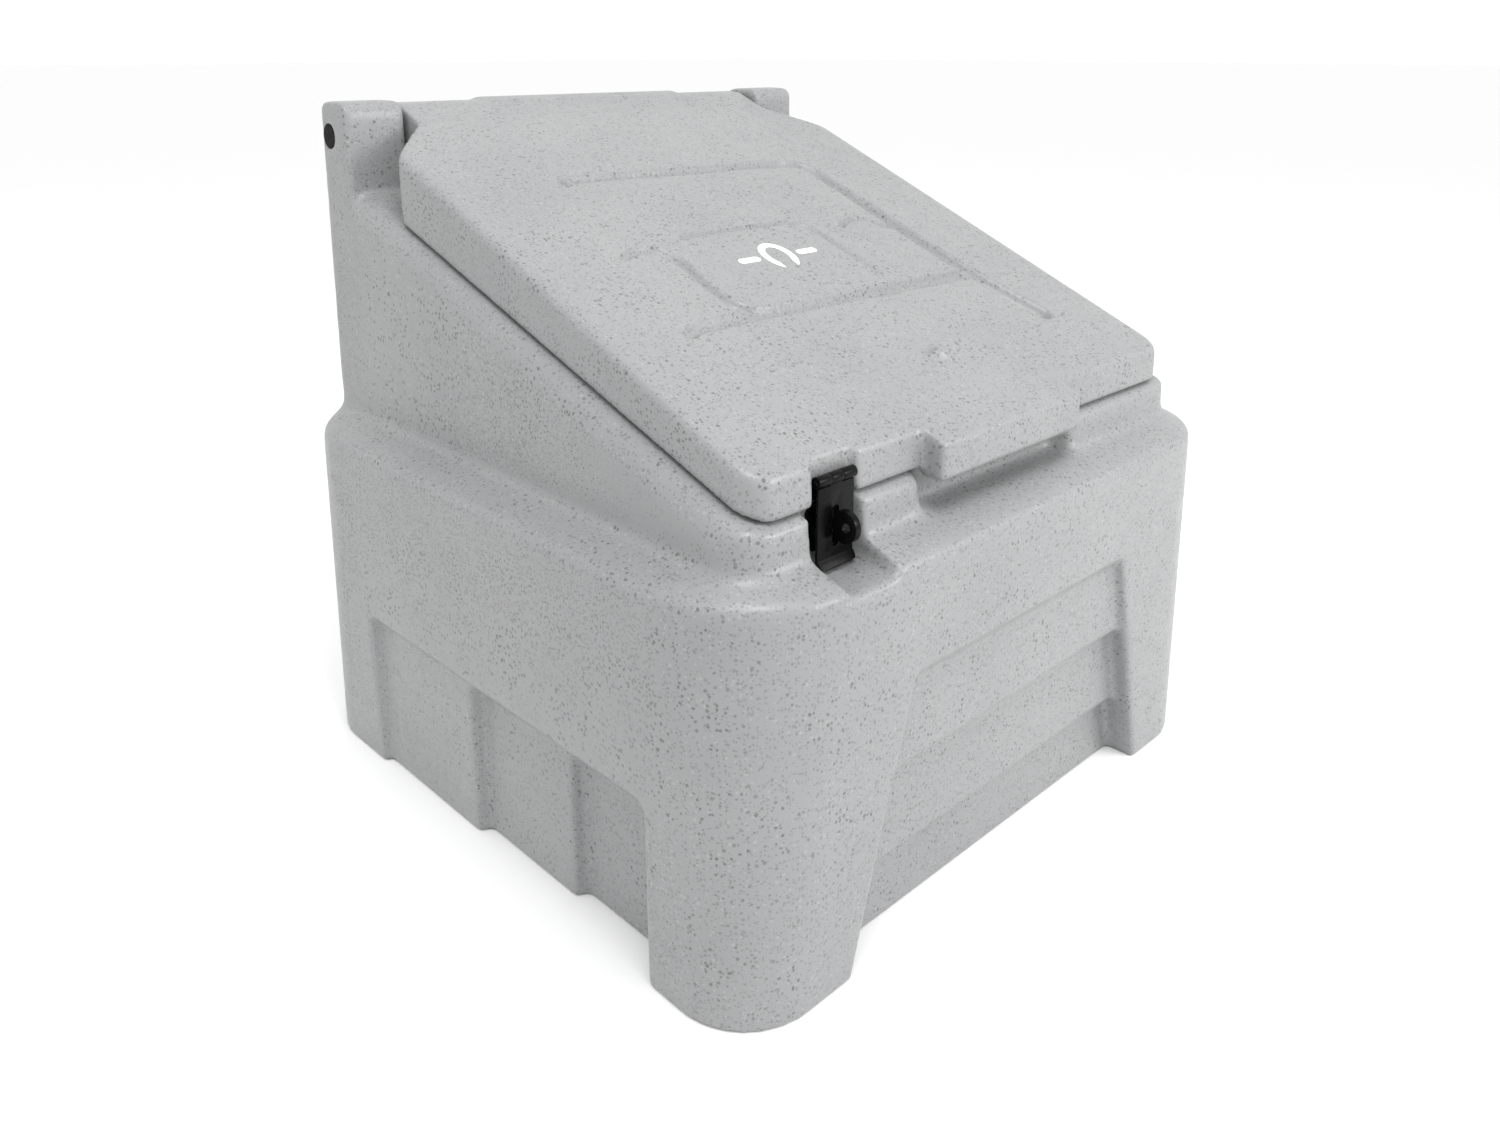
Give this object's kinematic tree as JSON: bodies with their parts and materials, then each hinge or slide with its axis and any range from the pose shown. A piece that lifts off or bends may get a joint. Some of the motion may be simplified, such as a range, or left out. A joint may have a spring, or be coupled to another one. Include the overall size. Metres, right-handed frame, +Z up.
{
  "type": "storage bin",
  "caption": "Moulded plastic outdoor storage bin with a sloping hinged lid, slatted side panels and a swivel hasp for a padlock.",
  "frame": {"origin": "on the floor under the middle of the tub", "axes": "+X to the right seen from the front, -Y towards the front, +Z up"},
  "size_m": [0.76, 0.748, 0.7275],
  "materials": {
    "grey_plastic": "speckled granite grey, satin, slight orange peel",
    "black_steel": "black powder coat, satin",
    "bright_steel": "zinc plated",
    "brass": "machined",
    "black_plastic": "satin black",
    "white_vinyl": "flat white"
  },
  "bodies": {
    "bin": {"body_shell": "grey_plastic", "hinge_rod": "bright_steel", "rod_end_caps": "black_plastic", "staple_plate": "black_steel", "staple_bolts": "black_steel", "staple_nuts": "bright_steel", "staple_backing_plate": "bright_steel"},
    "lid": {"lid": "grey_plastic", "hasp_plate": "black_steel", "hasp_pin": "bright_steel", "hasp_screws": "bright_steel", "lid_inserts": "brass", "lid_marking": "white_vinyl"},
    "leaf": {"hasp_leaf": "black_steel"},
    "staple": {"swivel_staple": "black_steel", "swivel_washer": "black_steel"}
  },
  "joints": [
    {"name": "lid_hinge", "type": "hinge", "parent": "bin", "child": "lid", "pos_m": [0, 0.31, 0.6915], "axis": [-1, 0, 0], "range_deg": [0, 120]},
    {"name": "hasp_swing", "type": "hinge", "parent": "lid", "child": "leaf", "pos_m": [-0.225, -0.321, 0.4485], "axis": [-1, 0, 0], "range_deg": [0, 150]},
    {"name": "staple_turn", "type": "hinge", "parent": "bin", "child": "staple", "pos_m": [-0.225, -0.3125, 0.409], "axis": [0, -1, 0], "range_deg": [0, 90]}
  ]
}
